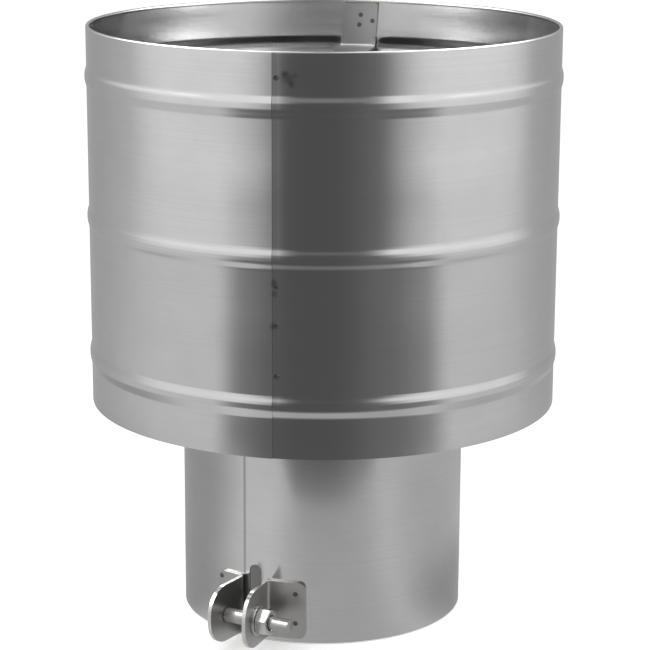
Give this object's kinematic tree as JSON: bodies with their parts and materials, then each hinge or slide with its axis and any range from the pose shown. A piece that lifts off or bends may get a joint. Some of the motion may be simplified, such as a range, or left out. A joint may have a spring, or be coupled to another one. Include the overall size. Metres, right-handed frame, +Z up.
{
  "type": "anti-downdraught cowl",
  "caption": "Beaded stainless drum held round the mouth of a flue spigot, with a rain disc set inside its open top and a bolted split clamp at the foot.",
  "frame": {"origin": "centre of the spigot's lower end", "axes": "+Z up along the flue; -Y is the front, with the clamp 27.5 degrees to its left"},
  "size_m": [0.252, 0.252, 0.318],
  "materials": {
    "spigot_sheet": "semi-gloss rolled stainless sheet",
    "drum_sheet": "semi-gloss rolled stainless sheet",
    "disc_sheet": "semi-gloss rolled stainless sheet",
    "strip_steel": "bent stainless strip",
    "lug_plate": "bent stainless plate",
    "zinc_hardware": "bright stainless fastener",
    "weld_marks": "heat-tinted spot weld"
  },
  "bodies": {
    "cowl": {"flue_spigot": "spigot_sheet", "drum_shell": "drum_sheet", "rain_disc": "disc_sheet", "disc_strap_rear": "strip_steel", "disc_strap_left": "strip_steel", "disc_strap_right": "strip_steel", "drum_bracket_front": "strip_steel", "drum_bracket_left": "strip_steel", "drum_bracket_right": "strip_steel", "clamp_lug_left": "lug_plate", "clamp_lug_right": "lug_plate", "drum_seam_welds": "weld_marks", "strap_wall_welds": "weld_marks", "strap_disc_welds": "weld_marks", "bracket_welds": "weld_marks", "lug_welds": "weld_marks"},
    "bolt": {"clamp_bolt": "zinc_hardware"},
    "washer": {"nut_washer": "zinc_hardware"},
    "nut": {"clamp_nut": "zinc_hardware"}
  },
  "joints": [
    {"name": "bolt_turn", "type": "hinge", "parent": "cowl", "child": "bolt", "pos_m": [-0.04271, -0.08205, 0.0176], "axis": [0.887, -0.4617, 0], "continuous": true},
    {"name": "washer_travel", "type": "slide", "parent": "cowl", "child": "washer", "axis": [0.887, -0.4617, 0], "range_m": [0, 0.0075]},
    {"name": "nut_turn", "type": "hinge", "parent": "washer", "child": "nut", "pos_m": [-0.04271, -0.08205, 0.0176], "axis": [0.887, -0.4617, 0], "range_deg": [0, 2160]}
  ],
  "couplings": [
    {"joint": "washer_travel", "follows": "nut_turn", "m_per_rad": 0.00019894}
  ]
}
